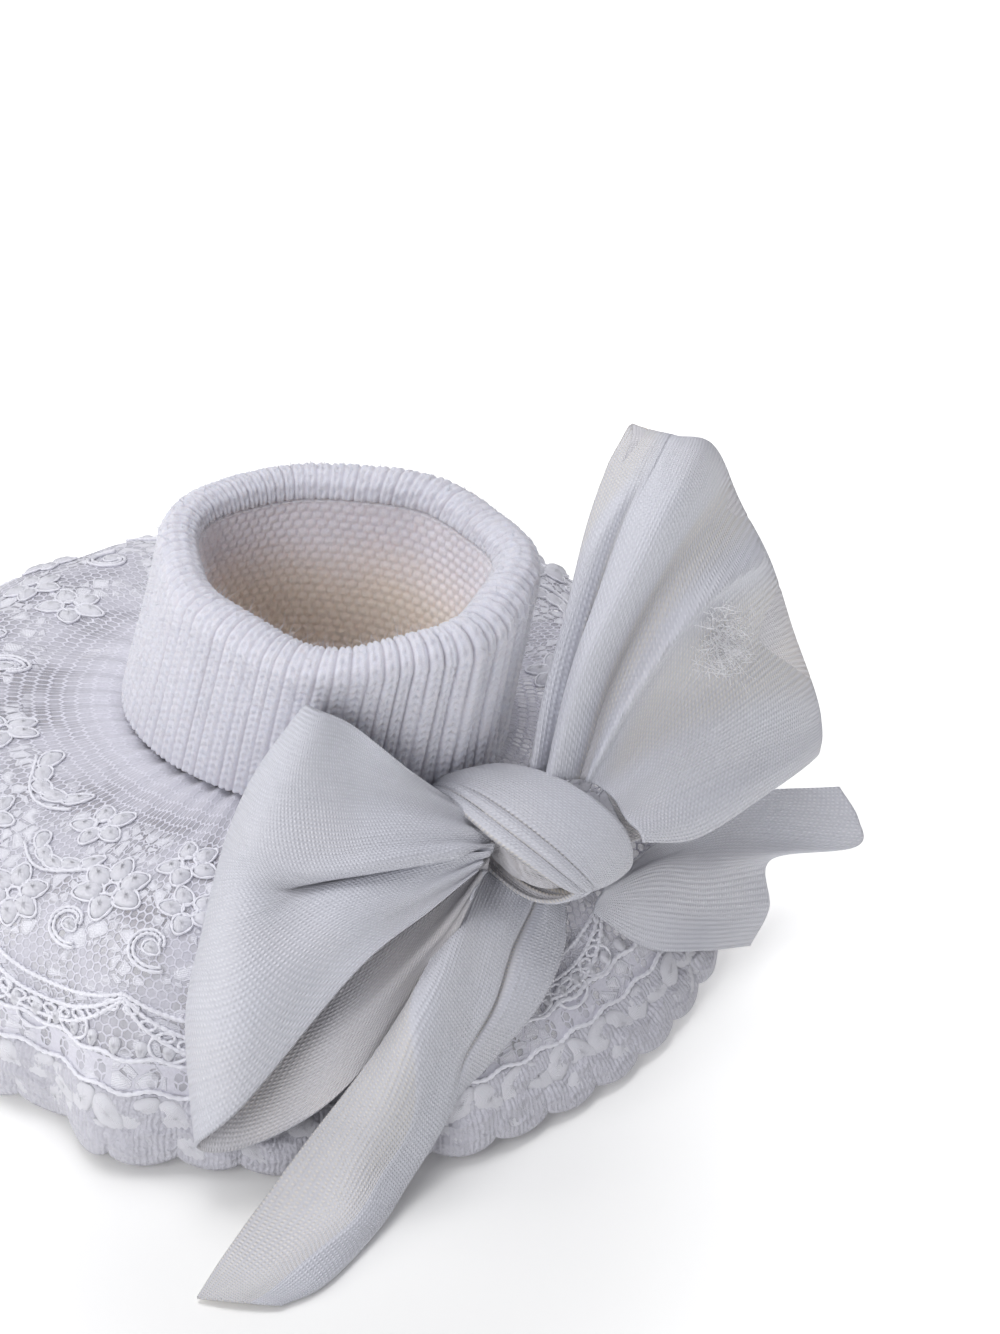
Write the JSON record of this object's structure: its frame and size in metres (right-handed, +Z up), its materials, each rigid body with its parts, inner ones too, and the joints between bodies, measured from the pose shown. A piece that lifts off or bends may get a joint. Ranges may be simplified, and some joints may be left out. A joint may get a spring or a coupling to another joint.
{
  "type": "baby bootie",
  "caption": "Knitted newborn bootie with a turned ribbed cuff, a gathered embroidered lace skirt round the ankle and a wide satin ribbon bow tied at the heel",
  "frame": {"origin": "On the flat underside of the sole, straight below the middle of the ankle opening's foot", "axes": "+Z up from the ground, +Y towards the heel and the bow, -Y towards the toe, +X to the left when seen from behind the heel"},
  "size_m": [0.1276, 0.1327, 0.0716],
  "materials": {
    "knit": "fine rib knit in soft white cotton yarn, slightly fuzzy",
    "lace": "embroidered white tulle lace with raised satin stitch",
    "satin": "soft ivory white satin ribbon with a fine visible weave",
    "thread": "white sewing thread",
    "elastic": "off-white covered elastic"
  },
  "bodies": {
    "bootie": {"sole": "knit", "foot_upper": "knit", "heel_pocket": "knit", "toe_cap": "knit", "toe_seam": "thread", "ankle_tube": "knit", "cuff_turnover": "knit", "cuff_elastic": "elastic", "lace_heading": "lace", "gather_stitch": "thread", "lace_ruffle": "lace", "scalloped_border": "lace", "lace_end_seam": "thread", "bow_knot_band": "satin", "bow_pinch": "satin", "tack_stitch_inner": "thread", "tack_stitch_outer": "thread"},
    "left_loop": {"bow_loop_left": "satin"},
    "right_loop": {"bow_loop_right": "satin"},
    "long_tail": {"bow_tail_long": "satin"},
    "back_tail": {"bow_tail_back": "satin"}
  },
  "joints": [
    {"name": "left_loop_lift", "type": "hinge", "parent": "bootie", "child": "left_loop", "pos_m": [0.016, 0.0312, 0.0298], "axis": [-0.6124, -0.6124, 0.5], "range_deg": [0, 30]},
    {"name": "right_loop_lean", "type": "hinge", "parent": "bootie", "child": "right_loop", "pos_m": [0.0028, 0.0387, 0.0301], "axis": [-0.1595, -0.339, -0.9272], "range_deg": [0, 20], "stiffness_Nm_per_rad": 0.01},
    {"name": "long_tail_swing", "type": "hinge", "parent": "bootie", "child": "long_tail", "pos_m": [0.0078, 0.0402, 0.0167], "axis": [0.483, -0.1294, 0.866], "range_deg": [0, 45]},
    {"name": "back_tail_lift", "type": "hinge", "parent": "bootie", "child": "back_tail", "pos_m": [0.0031, 0.0394, 0.0239], "axis": [0.433, 0.75, 0.5], "range_deg": [0, 20]}
  ]
}
